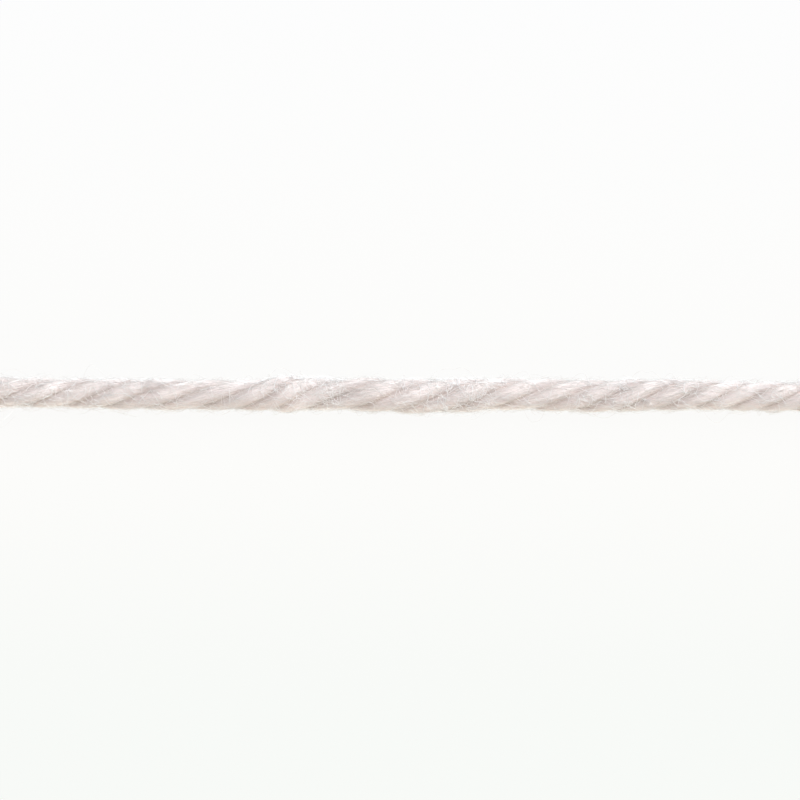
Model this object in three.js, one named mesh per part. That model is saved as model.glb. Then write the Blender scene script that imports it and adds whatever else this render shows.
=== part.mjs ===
// Knitting yarn: a straight cut length of four plies twisted together, lying on a flat surface.
// Millimetres, Z up. The yarn runs along X and rests on the plane Z = 0, and the middle of its
// underside is the origin.

import * as THREE from "three";

// Driving dimensions
const LENGTH = 100;
const PLIES = 4;
const CREASE_DEPTH = 0.27; // of the yarn's radius, at the bottom of the crease between two plies
const CREASE_SHARPNESS = 2.2; // higher makes fuller plies with narrower creases between them
const PRESSED = 0.2; // how much the plies give way where the yarn rests on them

// Fineness of the surface
const STEP = 0.65; // longest step along the yarn
const POINTS_PER_PLY = 8;

// The twist and the unevenness of the yarn. Each row is the next ply coming over the top, at the
// place along X where its crown crosses the yarn's middle line. The yarn's diameter there and how
// far its middle lies to the side come with it. A ply that crosses rises towards +Y as X grows.
const CROSSINGS = [
  { at: -52.6, diameter: 2.96, aside: 0.16 },
  { at: -48.5, diameter: 3.02, aside: 0.19 },
  { at: -44.4, diameter: 3.06, aside: 0.21 },
  { at: -40.2, diameter: 3.04, aside: 0.22 },
  { at: -36.0, diameter: 2.96, aside: 0.2 },
  { at: -32.0, diameter: 2.98, aside: 0.15 },
  { at: -28.0, diameter: 3.08, aside: 0.07 },
  { at: -23.4, diameter: 3.1, aside: 0.01 },
  { at: -18.7, diameter: 3.0, aside: -0.02 },
  { at: -14.6, diameter: 3.08, aside: -0.04 },
  { at: -11.3, diameter: 3.62, aside: 0.08 },
  { at: -7.8, diameter: 3.16, aside: 0.06 },
  { at: -3.2, diameter: 3.36, aside: 0.02 },
  { at: 1.4, diameter: 3.42, aside: -0.16 },
  { at: 6.5, diameter: 3.34, aside: -0.05 },
  { at: 10.9, diameter: 3.2, aside: 0.08 },
  { at: 15.1, diameter: 3.22, aside: -0.03 },
  { at: 19.2, diameter: 3.22, aside: -0.12 },
  { at: 23.3, diameter: 3.16, aside: -0.05 },
  { at: 27.1, diameter: 3.12, aside: 0.0 },
  { at: 30.7, diameter: 2.98, aside: -0.03 },
  { at: 33.9, diameter: 2.92, aside: -0.12 },
  { at: 37.2, diameter: 2.94, aside: -0.2 },
  { at: 41.0, diameter: 3.02, aside: -0.18 },
  { at: 45.0, diameter: 3.04, aside: -0.12 },
  { at: 49.1, diameter: 2.98, aside: -0.08 },
  { at: 53.2, diameter: 2.96, aside: -0.06 },
];

const QUARTER_TURN = Math.PI / 2;
const PLY_ANGLE = (2 * Math.PI) / PLIES;
const POINTS_AROUND = PLIES * POINTS_PER_PLY;

// A smooth reading of the table at any place along the yarn.
function yarnReader() {
  const places = CROSSINGS.map((row) => row.at);
  const values = CROSSINGS.flatMap((row, crossing) => [crossing, row.diameter, row.aside]);
  const columns = values.length / places.length;
  const reader = new THREE.CubicInterpolant(places, values, columns, new Array(columns));
  return (x) => {
    const [crossing, diameter, aside] = reader.evaluate(x);
    return { turn: QUARTER_TURN - crossing * PLY_ANGLE, radius: diameter / 2, aside };
  };
}

// How far the surface lies from the yarn's middle, as a share of its radius: 1 on the crown of a
// ply and least in the crease halfway to the next one.
function plyProfile(point) {
  const half = POINTS_PER_PLY / 2;
  const fromCrown = Math.abs(((point + half) % POINTS_PER_PLY) - half) / half;
  return 1 - CREASE_DEPTH * fromCrown ** CREASE_SHARPNESS;
}

// One section across the yarn, as points in order round it. The points turn with the plies, and
// none lies lower than the surface that the yarn rests on.
function sectionPoints(x, readYarn) {
  const { turn, radius, aside } = readYarn(x);
  const height = radius - PRESSED;
  return Array.from({ length: POINTS_AROUND }, (_, point) => {
    const angle = turn + (point / POINTS_AROUND) * 2 * Math.PI;
    const reach = radius * plyProfile(point);
    const y = aside + reach * Math.cos(angle);
    const z = height + reach * Math.sin(angle);
    return new THREE.Vector3(x, y, Math.max(z, 0));
  });
}

// The middle of a flat cut end.
function endCentre(x, readYarn) {
  const { radius, aside } = readYarn(x);
  return new THREE.Vector3(x, aside, radius - PRESSED);
}

// The yarn as one closed surface: a skin between the sections, and a flat cut at each end.
function yarnGeometry() {
  const readYarn = yarnReader();
  const steps = Math.ceil(LENGTH / STEP);
  const points = [];
  for (let step = 0; step <= steps; step += 1) {
    points.push(...sectionPoints((step / steps - 0.5) * LENGTH, readYarn));
  }
  const startCentre = points.push(endCentre(-LENGTH / 2, readYarn)) - 1;
  const farCentre = points.push(endCentre(LENGTH / 2, readYarn)) - 1;

  const faces = [];
  for (let side = 0; side < POINTS_AROUND; side += 1) {
    const next = (side + 1) % POINTS_AROUND;
    for (let step = 0; step < steps; step += 1) {
      const here = step * POINTS_AROUND;
      const ahead = here + POINTS_AROUND;
      faces.push(here + side, here + next, ahead + next);
      faces.push(here + side, ahead + next, ahead + side);
    }
    const last = steps * POINTS_AROUND;
    faces.push(startCentre, next, side);
    faces.push(farCentre, last + side, last + next);
  }

  const geometry = new THREE.BufferGeometry().setFromPoints(points);
  geometry.setIndex(faces);
  geometry.computeVertexNormals();
  return geometry;
}

// Moves a geometry so that the middle of its underside is the origin.
function centreOnFloor(geometry) {
  geometry.computeBoundingBox();
  const { min, max } = geometry.boundingBox;
  return geometry.translate(-(min.x + max.x) / 2, -(min.y + max.y) / 2, -min.z);
}

function yarn() {
  const wool = new THREE.MeshStandardMaterial({ color: 0xe3dad5, roughness: 0.95, metalness: 0 });
  const mesh = new THREE.Mesh(centreOnFloor(yarnGeometry()), wool);
  mesh.name = "yarn";
  return mesh;
}

const group = new THREE.Group();
group.add(yarn());

export default group;
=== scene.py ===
import math

import bpy
import numpy as np
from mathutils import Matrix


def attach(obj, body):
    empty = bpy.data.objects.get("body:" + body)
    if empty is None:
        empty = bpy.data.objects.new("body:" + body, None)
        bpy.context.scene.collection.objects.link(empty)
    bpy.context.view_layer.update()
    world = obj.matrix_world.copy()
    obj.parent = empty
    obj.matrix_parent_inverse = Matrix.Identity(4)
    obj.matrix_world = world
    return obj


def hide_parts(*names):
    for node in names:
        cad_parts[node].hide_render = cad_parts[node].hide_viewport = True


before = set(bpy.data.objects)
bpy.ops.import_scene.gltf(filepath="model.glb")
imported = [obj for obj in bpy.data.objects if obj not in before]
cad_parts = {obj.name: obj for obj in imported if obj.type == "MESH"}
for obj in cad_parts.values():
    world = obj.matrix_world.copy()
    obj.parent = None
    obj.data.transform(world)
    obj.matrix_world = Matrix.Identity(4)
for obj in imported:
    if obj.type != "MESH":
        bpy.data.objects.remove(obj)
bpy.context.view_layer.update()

# The yarn's sizes are in millimetres, and MM makes them metres where Blender takes them. The
# floor's width and the lamps' sizes and places are in metres.
MM = 0.001
FULL_TURN = 2 * math.pi
QUARTER_TURN = FULL_TURN / 4

# The yarn
LENGTH = 100.0
HALF = LENGTH / 2
DIAMETER = 3.1  # on average
RADIUS = DIAMETER / 2
PLIES = 4
CREASE_DEPTH = 0.27  # of the yarn's radius, at the bottom of the crease between two plies
CREASE_SHARPNESS = 2.2  # higher makes fuller plies with narrower creases between them
PRESSED = 0.2  # how much the plies give way where the yarn rests on them
ROUTE_POINTS = 41  # of the middle line that the cord follows

# The twist and the unevenness of the yarn. Each row is the next ply coming over the top: the place
# along X where its crown crosses the middle line, the diameter there, and how far the middle lies
# to the side.
CROSSINGS = np.array([
    # at, diameter, aside
    (-52.6, 2.96, 0.16),
    (-48.5, 3.02, 0.19),
    (-44.4, 3.06, 0.21),
    (-40.2, 3.04, 0.22),
    (-36.0, 2.96, 0.20),
    (-32.0, 2.98, 0.15),
    (-28.0, 3.08, 0.07),
    (-23.4, 3.10, 0.01),
    (-18.7, 3.00, -0.02),
    (-14.6, 3.08, -0.04),
    (-11.3, 3.62, 0.08),
    (-7.8, 3.16, 0.06),
    (-3.2, 3.36, 0.02),
    (1.4, 3.42, -0.16),
    (6.5, 3.34, -0.05),
    (10.9, 3.20, 0.08),
    (15.1, 3.22, -0.03),
    (19.2, 3.22, -0.12),
    (23.3, 3.16, -0.05),
    (27.1, 3.12, 0.00),
    (30.7, 2.98, -0.03),
    (33.9, 2.92, -0.12),
    (37.2, 2.94, -0.20),
    (41.0, 3.02, -0.18),
    (45.0, 3.04, -0.12),
    (49.1, 2.98, -0.08),
    (53.2, 2.96, -0.06),
])
AT, DIAMETERS, ASIDES = CROSSINGS.T

PLY_ANGLE = FULL_TURN / PLIES
HALF_PLY = PLY_ANGLE / 2
CROSSING_GAP = 4.15  # along the yarn from one crossing to the next, on average
TWIST_RATE = PLY_ANGLE / CROSSING_GAP  # radians that the plies turn in each mm of yarn

# Where the painted shade towards a crease starts, and how far it takes, as shares of half a ply
SHADE_START = 0.25
SHADE_WIDTH = 0.65

# The inner fibres
CORE_GAP = 0.07  # between them and the yarn's surface
CORE_INSET = 0.1  # between them and the cut ends
CORE_STEPS = 501
CORE_SIDES = 72
# Painted shade: the inner fibres keep a low tone, for the shadow of the fibres over them
CORE_TONE = 0.5
CORE_SHADE = 0.9  # how much painted shade takes off that tone in a crease

# Every fibre
FIBRE_SIDES = 3
TIP = 0.25  # how thick its tips are, as a share of its middle
TIP_SLOPE = 5.0  # higher makes shorter points
CURL_CENTRE = 0.1  # keeps a curled fibre about its middle

# The fibres on the outside of each ply. Here and in the tables below, a pair holds the least and
# the most, unless its comment says what it holds.
PLY_FIBRES = {
    "seed": 100,
    "count": 1250,
    "steps": 14,
    "past_ends": 4.0,  # how far outside the cut ends its middle may lie, before it is cut off
    "usual_rate": (0.52, 0.14),  # average and spread of how fast it crosses, for a twist of 1
    "rate_limits": (0.28, 1.0),
    "overlap": 1.08,  # how far from the crown it reaches, for a crease at 1
    "stick_out": (-0.1, 0.35),  # at a cut end
    "shortest": 1.0,
    "wander": (0.06, 1.6),  # size and most turns of the waves in its angle
    "depths": (0.03, 0.07),  # below the surface of the ply
    "depth_waves": (0.008, 2.0),  # size and most turns
    "dive": 0.26,  # how deep it goes at a crease
    "dive_start": 0.7,  # how far from the crown that starts, for a crease at 1
    "dive_width": 0.4,
    "dive_bend": 1.5,  # higher makes a later and steeper dive
    "thinnest": 0.016,
    "extra_radius": 0.009,  # above the thinnest, on average
    "most_extra": 0.028,
    "tones": (0.6, 1.0),
}

# Loose fibres that lie curled over the plies, all along the yarn
LINT = {
    "seed": 7,
    "count": 900,
    "steps": 12,
    "inset": 1.0,  # between their middles and the cut ends
    "past_ends": 1.0,  # how far outside the cut ends they may reach
    "lengths": (0.7, 2.6),
    "curl": 0.35,  # spread of their bends, for a length of 1
    "wander": (0.05, 2.0),  # size and most turns of the waves across them
    "lifts": (0.0, 0.08),  # above the surface
    "lift_waves": (0.03, 2.0),  # size and most turns
    "bridge": 0.88,  # how far out they stay over a crease, as a share of the radius
    "radii": (0.012, 0.024),
    "tones": (0.6, 1.0),
}

# The same, where the yarn is fuzziest
TUFT = {
    "seed": 23,
    "steps": 9,
    "past_ends": 0.0,
    "lengths": (0.4, 1.7),
    "curl": 0.5,
    "wander": (0.06, 2.0),
    "lifts": (0.03, 0.2),
    "lift_waves": (0.05, 1.5),
    "bridge": 0.9,
    "radii": (0.013, 0.025),
    # higher than the lint's: a painted highlight on the fuzziest spots
    "tones": (0.9, 1.3),
}
TUFTS = np.array([
    # at, spread, fibres
    (-47.0, 1.5, 50),
    (-38.0, 2.0, 140),
    (-32.5, 1.5, 80),
    (-25.5, 1.5, 50),
    (-13.0, 1.0, 50),
    (-9.8, 0.9, 110),
    (-7.0, 0.9, 140),
    (1.5, 1.2, 80),
    (4.5, 1.2, 140),
    (7.8, 1.5, 160),
    (18.3, 0.6, 60),
    (22.3, 0.8, 110),
    (28.5, 1.5, 60),
    (37.5, 1.5, 60),
    (46.0, 1.5, 40),
])

# Fibres that stand out of the yarn
ROOT_DEPTH = 0.06  # below the surface
ROOT_INSET = 0.5  # between their roots and the cut ends
SLANT_SPREAD = 0.5  # of their angles to the yarn, in radians
LOOPED = 0.45  # the share of them that are loops and not free ends
FREE_END_BEND = 1.3  # higher makes free ends lie lower near their roots
# Both kinds take low tones of a darker wool: painted shade against the full light on them
HALO = {
    "count": 4600,
    "steps": 7,
    "lengths": (0.5, 2.4),
    "average_height": 0.14,
    "highest": 0.6,
    "radii": (0.008, 0.013),
    "wave_size": 0.15,
    "tones": (0.1, 0.7),
}
FLYAWAYS = {
    "count": 150,
    "steps": 24,
    "lengths": (2.0, 8.0),
    "average_height": 0.7,
    "highest": 2.2,
    "radii": (0.009, 0.014),
    "wave_size": 0.5,
    "tones": (0.1, 0.7),
}

# The cut fibre ends that fill each end face
STUBS = {
    "seed": 40,
    "count": 260,
    "steps": 6,
    "root": 0.6,  # how deep in the yarn they start
    "stick_out": (0.0, 0.3),
    "fill": 0.94,  # how far out their roots may be, as a share of the way to the surface
    "splay": 0.03,  # how much further out a tip is than its root, as a share of the way out
    "radii": (0.05, 0.09),
    # raised, as painted light on the end faces that the lamps leave in shade
    "tones": (1.0, 1.6),
}

# The floor
FLOOR_WIDTH = 3.0
FLOOR_GAP = 0.01  # below the yarn, so that the two don't share a plane

# What the floor glows with, along Y. Each row is a place between the near and the far end of its
# change, with 0 at the near end and 1 at the far end, and the colour there.
GLOW_NEAR = -34.0
GLOW_FAR = 40.0
GLOW = [
    (0.0, (0.905, 0.923, 0.898)),
    (0.1, (0.911, 0.924, 0.901)),
    (0.35, (0.944, 0.941, 0.925)),
    (1.0, (0.948, 0.948, 0.948)),
]


# The yarn's form

def read_table(column, x):
    """A column's value at x, on the smooth curve through the rows of CROSSINGS."""
    secant = np.diff(column) / np.diff(AT)
    slope = np.zeros(len(AT))
    slope[1:-1] = (secant[:-1] + secant[1:]) / 2
    row = np.clip(np.searchsorted(AT, x) - 1, 0, len(AT) - 2)
    gap = AT[row + 1] - AT[row]
    t = (x - AT[row]) / gap
    start = (1 + 2 * t) * (1 - t) ** 2 * column[row] + t * (1 - t) ** 2 * gap * slope[row]
    finish = t**2 * (3 - 2 * t) * column[row + 1] + t**2 * (t - 1) * gap * slope[row + 1]
    return start + finish


def turn_at(x):
    """The angle of the first ply's crown round the yarn's middle, with 0 towards +Y."""
    return QUARTER_TURN - PLY_ANGLE * read_table(np.arange(len(AT), dtype=float), x)


def radius_at(x):
    """The yarn's radius at the crowns."""
    return read_table(DIAMETERS, x) / 2


def nearest_crown(angle):
    """The angle from the nearest ply's crown, for an angle from the first ply's crown."""
    return (angle + HALF_PLY) % PLY_ANGLE - HALF_PLY


def ply_profile(from_crown):
    """How far out the surface is at this angle from a ply's crown, as a share of the radius."""
    off = np.minimum(np.abs(from_crown) / HALF_PLY, 1.0)
    return 1 - CREASE_DEPTH * off**CREASE_SHARPNESS


def profile_at(x, angle):
    """The same for a place along the yarn and an angle round its middle."""
    return ply_profile(nearest_crown(angle - turn_at(x)))


def painted_shade(from_crown):
    """How much painted shade darkens the wool at this angle from a ply's crown: 0 on it and 1 in a
    crease.
    """
    t = np.clip((np.abs(from_crown) / HALF_PLY - SHADE_START) / SHADE_WIDTH, 0.0, 1.0)
    return t * t * (3 - 2 * t)


def place(x, angle, reach, lowest=0.0):
    """Points at this angle and reach from the yarn's middle line, none of them below lowest."""
    y = read_table(ASIDES, x) + reach * np.cos(angle)
    z = radius_at(x) - PRESSED + reach * np.sin(angle)
    return np.stack([x, y, np.maximum(z, lowest)], axis=-1)


def middle_line(x):
    """Points on the yarn's middle line."""
    return place(x, np.zeros_like(x), np.zeros_like(x))


# Meshes from arrays

def tube_faces(count, steps, sides):
    """The faces of closed tubes whose points run round, then along, then from tube to tube."""
    tube, step, side = np.meshgrid(range(count), range(steps), range(sides), indexing="ij")
    here = (tube * steps + step) * sides + side
    turned = np.roll(here, -1, axis=2)
    quads = np.stack([here[:, :-1], turned[:, :-1], turned[:, 1:], here[:, 1:]], axis=-1)
    starts = here[:, 0, ::-1]
    finishes = here[:, -1]
    return quads.reshape(-1, 4).tolist() + starts.tolist() + finishes.tolist()


def add_map(mesh, count, steps, sides):
    """Gives the mesh of tubes a flat map, with a strip for each tube."""
    edge = 0.1  # at each side of a strip, as a share of it
    tube, step, side = np.meshgrid(range(count), range(steps), range(sides), indexing="ij")
    strip = (tube + edge + (1 - 2 * edge) * side / max(sides - 1, 1)) / count
    chart = np.stack([step / (steps - 1), strip], axis=-1).reshape(-1, 2)
    corner_points = np.zeros(len(mesh.loops), dtype=np.int32)
    mesh.loops.foreach_get("vertex_index", corner_points)
    layer = mesh.uv_layers.new(name="OFBake")
    layer.uv.foreach_set("vector", chart[corner_points].astype(np.float32).ravel())


def make_piece(name, rings, tones, material):
    """A smooth piece of closed tubes. rings holds points by tube, step and side, and tones how
    light each of them is."""
    count, steps, sides = rings.shape[:3]
    mesh = bpy.data.meshes.new(name)
    points = rings.reshape(-1, 3) * MM
    mesh.from_pydata(points.tolist(), [], tube_faces(count, steps, sides), shade_flat=False)
    add_map(mesh, count, steps, sides)
    tone = mesh.attributes.new("tone", "FLOAT", "POINT")
    tone.data.foreach_set("value", tones.astype(np.float32).ravel())
    mesh.materials.append(material)
    piece = bpy.data.objects.new(name, mesh)
    bpy.context.collection.objects.link(piece)
    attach(piece, "root")
    return piece


def unit(vectors):
    """The same directions, each of length 1."""
    return vectors / np.linalg.norm(vectors, axis=-1, keepdims=True)


def fibre_rings(paths, radii):
    """The rings of a thin tube along each path, pointed at both ends."""
    steps = paths.shape[1]
    along = unit(np.gradient(paths, axis=1))
    upward = np.array([0.0, 0.0, 1e-3])  # so that a point on the middle line has a way out too
    out = paths - middle_line(paths[:, :, 0]) + upward
    out = unit(out - (out * along).sum(-1, keepdims=True) * along)
    side = np.cross(along, out)
    share = np.linspace(0.0, 1.0, steps)
    taper = np.minimum(1.0, TIP + TIP_SLOPE * np.minimum(share, 1 - share))
    radius = (radii[:, None] * taper)[:, :, None, None]
    angle = (np.arange(FIBRE_SIDES) * FULL_TURN / FIBRE_SIDES)[:, None]
    spokes = np.cos(angle) * out[:, :, None] + np.sin(angle) * side[:, :, None]
    return paths[:, :, None] + radius * spokes


def make_fibres(name, x, angle, reach, radii, tones, material):
    """A piece of fibres that run at these angles and reaches from the yarn's middle line."""
    paths = place(x, angle, reach, lowest=radii[:, None])
    return make_piece(name, fibre_rings(paths, radii), tones, material)


def waves(random, count, share, size, most_turns):
    """Slow wandering for each fibre, made of two waves along it."""
    fewest_turns = 0.5
    total = 0.0
    for _ in range(2):
        turns = random.uniform(fewest_turns, most_turns, (count, 1))
        phase = random.uniform(0.0, FULL_TURN, (count, 1))
        total = total + np.sin(FULL_TURN * turns * share + phase)
    return size * total / 2


def even_tones(random, count, kind):
    """One tone for each fibre, given to all its points."""
    return np.repeat(random.uniform(*kind["tones"], count), kind["steps"] * FIBRE_SIDES)


# Materials

def wool(name, light, dark, sheen):
    """Matt wool that lets a little light in, between two colours that each fibre's tone picks
    from. Soft blotches vary its colour and roughness, and fine scales raise its surface."""
    material = bpy.data.materials.new(name)
    material.use_nodes = True
    nodes = material.node_tree.nodes
    link = material.node_tree.links.new
    shader = nodes["Principled BSDF"]
    shader.inputs["Specular IOR Level"].default_value = 0.2
    shader.inputs["Sheen Weight"].default_value = sheen
    shader.inputs["Sheen Roughness"].default_value = 0.45
    shader.inputs["Sheen Tint"].default_value = (1.0, 0.97, 0.95, 1.0)
    shader.inputs["Subsurface Weight"].default_value = 0.25
    shader.inputs["Subsurface Radius"].default_value = (1.0, 0.85, 0.75)
    shader.inputs["Subsurface Scale"].default_value = 0.5 * MM

    where = nodes.new("ShaderNodeTexCoord")
    blotches = nodes.new("ShaderNodeTexNoise")
    blotches.inputs["Scale"].default_value = 260.0
    blotches.inputs["Detail"].default_value = 4.0
    link(where.outputs["Object"], blotches.inputs["Vector"])

    # The place between the two colours is the tone times its weight, plus the blotches.
    tone_weight = 0.6
    tone = nodes.new("ShaderNodeAttribute")
    tone.attribute_name = "tone"
    blend = nodes.new("ShaderNodeMath")
    blend.operation = "MULTIPLY_ADD"
    blend.inputs[1].default_value = tone_weight
    link(tone.outputs["Fac"], blend.inputs[0])
    uneven = nodes.new("ShaderNodeMapRange")
    uneven.inputs["From Min"].default_value = 0.3
    uneven.inputs["From Max"].default_value = 0.7
    uneven.inputs["To Min"].default_value = 0.05
    uneven.inputs["To Max"].default_value = 0.35
    link(blotches.outputs["Fac"], uneven.inputs["Value"])
    link(uneven.outputs["Result"], blend.inputs[2])
    colour = nodes.new("ShaderNodeValToRGB")
    colour.color_ramp.elements[0].color = (*dark, 1.0)
    colour.color_ramp.elements[1].color = (*light, 1.0)
    link(blend.outputs["Value"], colour.inputs["Fac"])
    link(colour.outputs["Color"], shader.inputs["Base Color"])

    rough = nodes.new("ShaderNodeMapRange")
    rough.inputs["To Min"].default_value = 0.72
    rough.inputs["To Max"].default_value = 0.96
    link(blotches.outputs["Fac"], rough.inputs["Value"])
    link(rough.outputs["Result"], shader.inputs["Roughness"])

    stretch = nodes.new("ShaderNodeMapping")
    stretch.inputs["Scale"].default_value = (0.25, 1.0, 1.0)
    link(where.outputs["Object"], stretch.inputs["Vector"])
    scales = nodes.new("ShaderNodeTexNoise")
    scales.inputs["Scale"].default_value = 9000.0
    scales.inputs["Detail"].default_value = 2.0
    link(stretch.outputs["Vector"], scales.inputs["Vector"])
    bump = nodes.new("ShaderNodeBump")
    bump.inputs["Strength"].default_value = 0.15
    bump.inputs["Distance"].default_value = 0.03 * MM
    link(scales.outputs["Fac"], bump.inputs["Height"])
    link(bump.outputs["Normal"], shader.inputs["Normal"])
    return material


# The pieces

def yarn_core(material):
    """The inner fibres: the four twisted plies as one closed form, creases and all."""
    along = np.linspace(-HALF + CORE_INSET, HALF - CORE_INSET, CORE_STEPS)
    x, side = np.meshgrid(along, np.arange(CORE_SIDES), indexing="ij")
    from_first = side / CORE_SIDES * FULL_TURN
    from_crown = nearest_crown(from_first)
    reach = radius_at(x) * ply_profile(from_crown) - CORE_GAP
    rings = place(x, turn_at(x) + from_first, reach)
    # Painted shade: the tone falls towards each crease
    tones = CORE_TONE - CORE_SHADE * painted_shade(from_crown)
    return make_piece("yarn_core", rings[None], tones, material)


def ply_fibres(ply, material):
    """The fibres on the outside of one ply. Each comes up out of the crease on one side, crosses
    the crown at a slant, and dives into the crease on the other side."""
    kind = PLY_FIBRES
    random = np.random.default_rng(kind["seed"] + ply)
    count = kind["count"]
    outmost = HALF + kind["past_ends"]
    crown = random.uniform(-outmost, outmost, count)
    rate = TWIST_RATE * np.clip(random.normal(*kind["usual_rate"], count), *kind["rate_limits"])
    half = kind["overlap"] * HALF_PLY / rate
    start = np.maximum(crown - half, -HALF - random.uniform(*kind["stick_out"], count))
    finish = np.minimum(crown + half, HALF + random.uniform(*kind["stick_out"], count))
    kept = finish - start > kind["shortest"]
    crown, rate, start, finish = (v[kept, None] for v in (crown, rate, start, finish))
    count = len(crown)

    share = np.linspace(0.0, 1.0, kind["steps"])[None]
    x = start + (finish - start) * share
    from_crown = rate * (x - crown) + waves(random, count, share, *kind["wander"])
    width, bend = kind["dive_width"], kind["dive_bend"]
    diving = np.clip(np.abs(from_crown) / HALF_PLY - kind["dive_start"], 0.0, width)
    dive = kind["dive"] * diving**bend / width**bend
    depth = random.uniform(*kind["depths"], (count, 1))
    depth = depth + waves(random, count, share, *kind["depth_waves"])
    extra = np.minimum(random.exponential(kind["extra_radius"], count), kind["most_extra"])
    reach = radius_at(x) * ply_profile(from_crown) - depth - dive
    angle = turn_at(x) + ply * PLY_ANGLE + from_crown
    # Each fibre's own random tone, less painted shade towards the creases
    tones = random.uniform(*kind["tones"], (count, 1)) - painted_shade(from_crown)
    tones = np.repeat(tones, FIBRE_SIDES)
    name = f"ply_{ply + 1}_fibres"
    return make_fibres(name, x, angle, reach, kind["thinnest"] + extra, tones, material)


def draw_curls(random, count, kind):
    """The length, the slant and the bend of each loose fibre."""
    length = random.uniform(*kind["lengths"], (count, 1))
    slant = random.uniform(0.0, math.pi, (count, 1))
    bend = random.normal(0.0, kind["curl"], (count, 1))
    return length, slant, bend


def lying_fibres(name, random, middle, curls, kind, material):
    """Loose fibres that lie over the plies about these middles, curled every way."""
    length, slant, bend = curls
    count = len(middle)
    share = np.linspace(-0.5, 0.5, kind["steps"])[None]
    curl = bend * length * (share**2 - CURL_CENTRE)
    x = middle + length * np.cos(slant) * share - curl * np.sin(slant)
    outmost = HALF + kind["past_ends"]
    x = np.clip(x, -outmost, outmost)
    across = length * np.sin(slant) * share + curl * np.cos(slant)
    across = across + waves(random, count, share, *kind["wander"])
    angle = random.uniform(0.0, FULL_TURN, (count, 1)) + across / RADIUS
    lift = random.uniform(*kind["lifts"], (count, 1))
    lift = lift + waves(random, count, share, *kind["lift_waves"])
    reach = radius_at(x) * np.maximum(profile_at(x, angle), kind["bridge"]) + lift
    radii = random.uniform(*kind["radii"], count)
    tones = even_tones(random, count, kind)
    return make_fibres(name, x, angle, reach, radii, tones, material)


def lint(material):
    """Loose fibres all along the yarn."""
    random = np.random.default_rng(LINT["seed"])
    count = LINT["count"]
    curls = draw_curls(random, count, LINT)
    outmost = HALF - LINT["inset"]
    middle = random.uniform(-outmost, outmost, (count, 1))
    return lying_fibres("lint", random, middle, curls, LINT, material)


def tufts(material):
    """Loose fibres where the yarn is fuzziest."""
    random = np.random.default_rng(TUFT["seed"])
    at, spread, fibres = TUFTS.T
    fibres = fibres.astype(int)
    middle = random.normal(np.repeat(at, fibres), np.repeat(spread, fibres))[:, None]
    curls = draw_curls(random, len(middle), TUFT)
    return lying_fibres("tufts", random, middle, curls, TUFT, material)


def standing_fibres(name, kind, material, seed):
    """Fibres that stand out from the surface, as loops and as free ends."""
    random = np.random.default_rng(seed)
    count, size = kind["count"], kind["wave_size"]
    share = np.linspace(0.0, 1.0, kind["steps"])[None]
    length = random.uniform(*kind["lengths"], (count, 1))
    length = length * random.choice([-1.0, 1.0], (count, 1))
    outmost = HALF - ROOT_INSET
    root = random.uniform(-outmost, outmost, (count, 1))
    slant = random.normal(0.0, SLANT_SPREAD, (count, 1))
    stray = waves(random, count, share, size, most_turns=2.0) * share
    x = root + length * np.cos(slant) * share + stray
    height = random.exponential(kind["average_height"], (count, 1))
    height = np.minimum(height, kind["highest"])
    looped = random.random((count, 1)) < LOOPED
    free_end = np.sin(QUARTER_TURN * share) ** FREE_END_BEND
    rise = np.where(looped, np.sin(math.pi * share), free_end)
    drift = length * np.sin(slant) / RADIUS * share
    sway = waves(random, count, share, size, most_turns=1.5) * share / RADIUS
    angle = random.uniform(0.0, FULL_TURN, (count, 1)) + drift + sway
    inside = np.clip(x, -HALF, HALF)
    surface = radius_at(inside) * profile_at(inside, angle)
    reach = surface - ROOT_DEPTH + (height + ROOT_DEPTH) * rise
    radii = random.uniform(*kind["radii"], count)
    tones = even_tones(random, count, kind)
    return make_fibres(name, x, angle, reach, radii, tones, material)


def end_stubs(end, material):
    """The cut fibre ends that fill one end face, a little uneven."""
    kind = STUBS
    random = np.random.default_rng(kind["seed"] + end)
    count, root = kind["count"], kind["root"]
    share = np.linspace(0.0, 1.0, kind["steps"])[None]
    sign = -1.0 if end == 0 else 1.0
    out = random.uniform(*kind["stick_out"], (count, 1))
    x = sign * (HALF - root + (root + out) * share)
    from_first = random.uniform(0.0, FULL_TURN, (count, 1))
    profile = ply_profile(nearest_crown(from_first))
    spread = np.sqrt(random.uniform(0.0, 1.0, (count, 1))) * (1 + kind["splay"] * share)
    reach = kind["fill"] * radius_at(x) * profile * spread
    radii = random.uniform(*kind["radii"], count)
    tones = even_tones(random, count, kind)
    name = "cut_start_fibres" if end == 0 else "cut_finish_fibres"
    return make_fibres(name, x, turn_at(x) + from_first, reach, radii, tones, material)


# The studio

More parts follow.
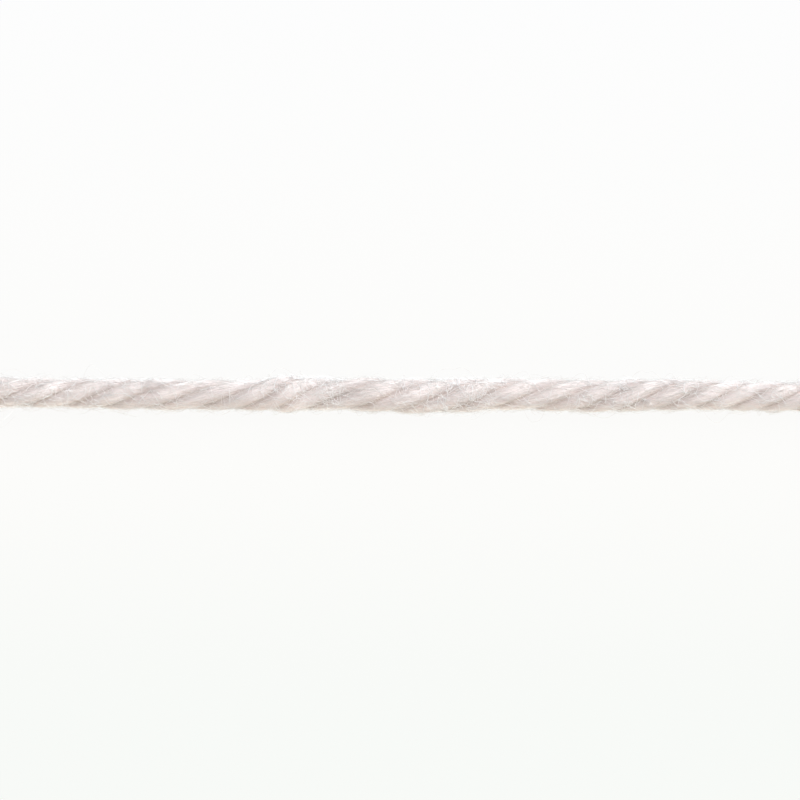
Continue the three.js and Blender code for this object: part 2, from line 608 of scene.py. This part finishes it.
def pale_floor():
    """A floor that glows like a light table, so that the yarn casts hardly any shadow. It is
    white on the far side, and a little darker and greener towards the near side."""
    bpy.ops.mesh.primitive_plane_add(size=FLOOR_WIDTH, location=(0.0, 0.0, -FLOOR_GAP * MM))
    floor = bpy.context.object
    floor.name = "floor"
    paint = bpy.data.materials.new("pale_floor")
    paint.use_nodes = True
    nodes = paint.node_tree.nodes
    link = paint.node_tree.links.new
    shader = nodes["Principled BSDF"]
    shader.inputs["Base Color"].default_value = (0.02, 0.02, 0.02, 1.0)
    shader.inputs["Roughness"].default_value = 0.9
    shader.inputs["Specular IOR Level"].default_value = 0.0
    where = nodes.new("ShaderNodeTexCoord")
    split = nodes.new("ShaderNodeSeparateXYZ")
    link(where.outputs["Object"], split.inputs["Vector"])
    across = nodes.new("ShaderNodeMapRange")
    across.inputs["From Min"].default_value = GLOW_NEAR * MM
    across.inputs["From Max"].default_value = GLOW_FAR * MM
    link(split.outputs["Y"], across.inputs["Value"])
    glow = nodes.new("ShaderNodeValToRGB")
    stops = glow.color_ramp.elements
    stops.remove(stops[1])
    for at, colour in GLOW[1:]:
        stops.new(at).color = (*colour, 1.0)
    stops[0].color = (*GLOW[0][1], 1.0)
    link(across.outputs["Result"], glow.inputs["Fac"])
    link(glow.outputs["Color"], shader.inputs["Emission Color"])
    shader.inputs["Emission Strength"].default_value = 1.0
    floor.data.materials.append(paint)


def camera_above():
    """A long lens straight above the yarn."""
    lens = 200.0
    sensor = 36.0
    view = 80.0  # how wide the picture is at the yarn
    below_yarn = 0.53  # how far towards -Y from the yarn the picture's middle is
    height = RADIUS + view * lens / sensor
    bpy.ops.object.camera_add(location=(0.0, -below_yarn * MM, height * MM))
    camera = bpy.context.object
    camera.data.lens = lens
    camera.data.sensor_width = sensor
    bpy.context.scene.camera = camera


def soft_box(name, position, size, power, colour):
    """A square lamp that faces the yarn's middle."""
    lamp = bpy.data.lights.new(name, "AREA")
    lamp.color = colour
    lamp.shape = "SQUARE"
    lamp.size = size
    lamp.energy = power
    thing = bpy.data.objects.new(name, lamp)
    thing.location = position
    x, y, z = position
    thing.rotation_euler = (math.atan2(math.hypot(x, y), z), 0.0, math.atan2(x, -y))
    bpy.context.collection.objects.link(thing)


def studio():
    """A soft white surrounding and three large lamps."""
    world = bpy.data.worlds.new("studio")
    bpy.context.scene.world = world
    world.use_nodes = True
    sky = world.node_tree.nodes["Background"]
    sky.inputs["Color"].default_value = (1.0, 1.0, 1.0, 1.0)
    sky.inputs["Strength"].default_value = 0.25
    soft_box("overhead", (0.0, 0.0, 1.0), size=0.9, power=3.0, colour=(1.14, 0.96, 0.87))
    soft_box("key", (0.35, 0.61, 0.71), size=1.1, power=19.5, colour=(0.88, 1.0, 1.07))
    soft_box("near_fill", (0.0, -0.99, 0.16), size=0.7, power=11.1, colour=(0.98, 1.02, 0.91))
    bpy.context.scene.view_settings.view_transform = "Standard"


camera_above()
pale_floor()
studio()

core_wool = wool("core_wool", light=(0.93, 0.835, 0.80), dark=(0.56, 0.463, 0.43), sheen=0.04)
fibre_wool = wool("fibre_wool", light=(0.95, 0.852, 0.818), dark=(0.68, 0.565, 0.527), sheen=0.03)
# Painted shade: the standing fibres' wool is darker than the ply fibres', to hold down the full
# light they stand in
halo_wool = wool("halo_wool", light=(0.83, 0.778, 0.748), dark=(0.67, 0.616, 0.586), sheen=0.04)
# Painted highlight: the loose wool is lighter than the ply fibres', for the light the loose fibres
# catch
loose_wool = wool("loose_wool", light=(0.95, 0.915, 0.90), dark=(0.86, 0.815, 0.79), sheen=0.1)

core = yarn_core(core_wool)
loose = [ply_fibres(ply, fibre_wool) for ply in range(PLIES)]
loose.append(lint(loose_wool))
loose.append(tufts(loose_wool))
loose.append(standing_fibres("halo_1", HALO, halo_wool, seed=11))
loose.append(standing_fibres("halo_2", HALO, halo_wool, seed=12))
loose.append(standing_fibres("flyaways", FLYAWAYS, halo_wool, seed=19))
loose.extend(end_stubs(end, fibre_wool) for end in range(2))

route = middle_line(np.linspace(-HALF, HALF, ROUTE_POINTS)) * MM
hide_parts("yarn")
